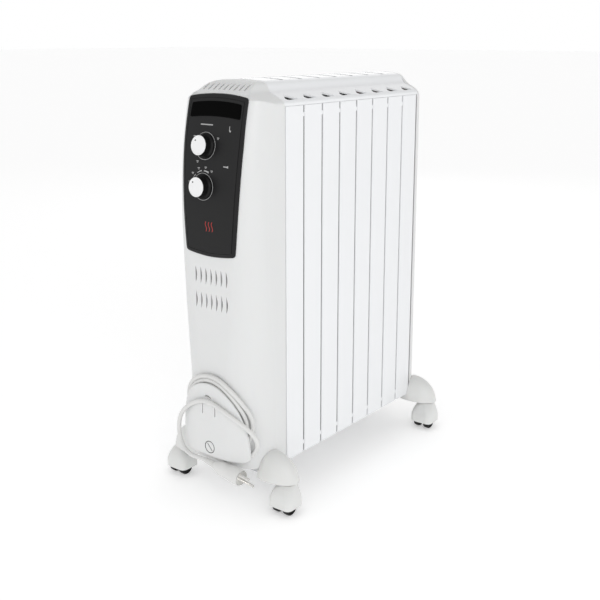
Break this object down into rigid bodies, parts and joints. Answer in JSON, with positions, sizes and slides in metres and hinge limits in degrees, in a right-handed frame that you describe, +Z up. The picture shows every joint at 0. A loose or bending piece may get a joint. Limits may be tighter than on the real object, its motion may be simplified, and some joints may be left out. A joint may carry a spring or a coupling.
{
  "type": "oil filled radiator heater",
  "caption": "Upright oil filled electric radiator on swivel casters, with control knobs, a vented top and a cord winder.",
  "frame": {"origin": "centre of the footprint on the floor, without the cord", "axes": "+Z up, -Y towards the control end, +X to the right when facing the controls"},
  "size_m": [0.264, 0.5085, 0.648],
  "materials": {
    "fin_paint": "gloss enamel",
    "white_plastic": "satin moulded plastic",
    "panel_plastic": "fine satin grain",
    "window_gloss": "polished",
    "amber_lens": "clear",
    "black_plastic": "fine grain",
    "knob_silver": "pearl silver",
    "cord_white": "soft PVC",
    "pin_metal": "nickel plated",
    "brass": "machined",
    "zinc_steel": "zinc plated",
    "foot_plastic": "satin moulded plastic",
    "wheel_black": "moulded nylon"
  },
  "bodies": {
    "heater_body": {"oil_fin_1": "fin_paint", "oil_fin_2": "fin_paint", "oil_fin_3": "fin_paint", "oil_fin_4": "fin_paint", "oil_fin_5": "fin_paint", "oil_fin_6": "fin_paint", "oil_fin_7": "fin_paint", "oil_fin_8": "fin_paint", "heating_element": "zinc_steel", "element_flange": "brass", "oil_plug": "brass", "top_cover": "fin_paint", "rear_cover": "white_plastic", "front_housing": "white_plastic", "control_panel": "panel_plastic", "display_window": "window_gloss", "control_bracket": "zinc_steel", "terminal_block": "black_plastic", "thermostat": "black_plastic", "selector_switch": "black_plastic", "pilot_lamp": "amber_lens", "front_foot_bracket": "zinc_steel", "rear_foot_bracket": "zinc_steel", "front_clamp_bolt": "zinc_steel", "rear_clamp_bolt": "zinc_steel", "foot_cover_front_left": "foot_plastic", "caster_stem_front_left": "zinc_steel", "foot_cover_front_right": "foot_plastic", "caster_stem_front_right": "zinc_steel", "foot_cover_rear_left": "foot_plastic", "caster_stem_rear_left": "zinc_steel", "foot_cover_rear_right": "foot_plastic", "caster_stem_rear_right": "zinc_steel", "winder_core": "white_plastic", "winder_plate": "white_plastic", "cord_gland": "white_plastic", "cord_winding": "cord_white", "cord_tail": "cord_white", "plug_body": "cord_white", "plug_pins": "pin_metal"},
    "selector_knob": {"selector_knob": "black_plastic", "selector_knob_cap": "knob_silver"},
    "thermostat_knob": {"thermostat_knob": "black_plastic", "thermostat_knob_cap": "knob_silver"},
    "caster_front_left": {"caster_hood_front_left": "foot_plastic", "caster_axle_front_left": "zinc_steel"},
    "wheel_a_front_left": {"wheel_a_front_left": "wheel_black"},
    "wheel_b_front_left": {"wheel_b_front_left": "wheel_black"},
    "caster_front_right": {"caster_hood_front_right": "foot_plastic", "caster_axle_front_right": "zinc_steel"},
    "wheel_a_front_right": {"wheel_a_front_right": "wheel_black"},
    "wheel_b_front_right": {"wheel_b_front_right": "wheel_black"},
    "caster_rear_left": {"caster_hood_rear_left": "foot_plastic", "caster_axle_rear_left": "zinc_steel"},
    "wheel_a_rear_left": {"wheel_a_rear_left": "wheel_black"},
    "wheel_b_rear_left": {"wheel_b_rear_left": "wheel_black"},
    "caster_rear_right": {"caster_hood_rear_right": "foot_plastic", "caster_axle_rear_right": "zinc_steel"},
    "wheel_a_rear_right": {"wheel_a_rear_right": "wheel_black"},
    "wheel_b_rear_right": {"wheel_b_rear_right": "wheel_black"}
  },
  "joints": [
    {"name": "selector_knob_turn", "type": "hinge", "parent": "heater_body", "child": "selector_knob", "pos_m": [-0.013, -0.22537, 0.554], "axis": [0, -0.9876, 0.157], "range_deg": [-135, 0]},
    {"name": "thermostat_knob_turn", "type": "hinge", "parent": "heater_body", "child": "thermostat_knob", "pos_m": [-0.013, -0.23231, 0.495], "axis": [0, -0.9969, 0.079], "range_deg": [-195, 105]},
    {"name": "caster_swivel_front_left", "type": "hinge", "parent": "heater_body", "child": "caster_front_left", "pos_m": [-0.111, -0.18968, 0.04], "axis": [0, 0, 1], "continuous": true},
    {"name": "wheel_a_roll_front_left", "type": "hinge", "parent": "caster_front_left", "child": "wheel_a_front_left", "pos_m": [-0.121, -0.19868, 0.01284], "axis": [1, 0, 0], "continuous": true},
    {"name": "wheel_b_roll_front_left", "type": "hinge", "parent": "caster_front_left", "child": "wheel_b_front_left", "pos_m": [-0.101, -0.19868, 0.01284], "axis": [1, 0, 0], "continuous": true},
    {"name": "caster_swivel_front_right", "type": "hinge", "parent": "heater_body", "child": "caster_front_right", "pos_m": [0.111, -0.18968, 0.04], "axis": [0, 0, 1], "continuous": true},
    {"name": "wheel_a_roll_front_right", "type": "hinge", "parent": "caster_front_right", "child": "wheel_a_front_right", "pos_m": [0.101, -0.19868, 0.01284], "axis": [1, 0, 0], "continuous": true},
    {"name": "wheel_b_roll_front_right", "type": "hinge", "parent": "caster_front_right", "child": "wheel_b_front_right", "pos_m": [0.121, -0.19868, 0.01284], "axis": [1, 0, 0], "continuous": true},
    {"name": "caster_swivel_rear_left", "type": "hinge", "parent": "heater_body", "child": "caster_rear_left", "pos_m": [-0.111, 0.22132, 0.04], "axis": [0, 0, 1], "continuous": true},
    {"name": "wheel_a_roll_rear_left", "type": "hinge", "parent": "caster_rear_left", "child": "wheel_a_rear_left", "pos_m": [-0.121, 0.21232, 0.01284], "axis": [1, 0, 0], "continuous": true},
    {"name": "wheel_b_roll_rear_left", "type": "hinge", "parent": "caster_rear_left", "child": "wheel_b_rear_left", "pos_m": [-0.101, 0.21232, 0.01284], "axis": [1, 0, 0], "continuous": true},
    {"name": "caster_swivel_rear_right", "type": "hinge", "parent": "heater_body", "child": "caster_rear_right", "pos_m": [0.111, 0.22132, 0.04], "axis": [0, 0, 1], "continuous": true},
    {"name": "wheel_a_roll_rear_right", "type": "hinge", "parent": "caster_rear_right", "child": "wheel_a_rear_right", "pos_m": [0.101, 0.21232, 0.01284], "axis": [1, 0, 0], "continuous": true},
    {"name": "wheel_b_roll_rear_right", "type": "hinge", "parent": "caster_rear_right", "child": "wheel_b_rear_right", "pos_m": [0.121, 0.21232, 0.01284], "axis": [1, 0, 0], "continuous": true}
  ]
}
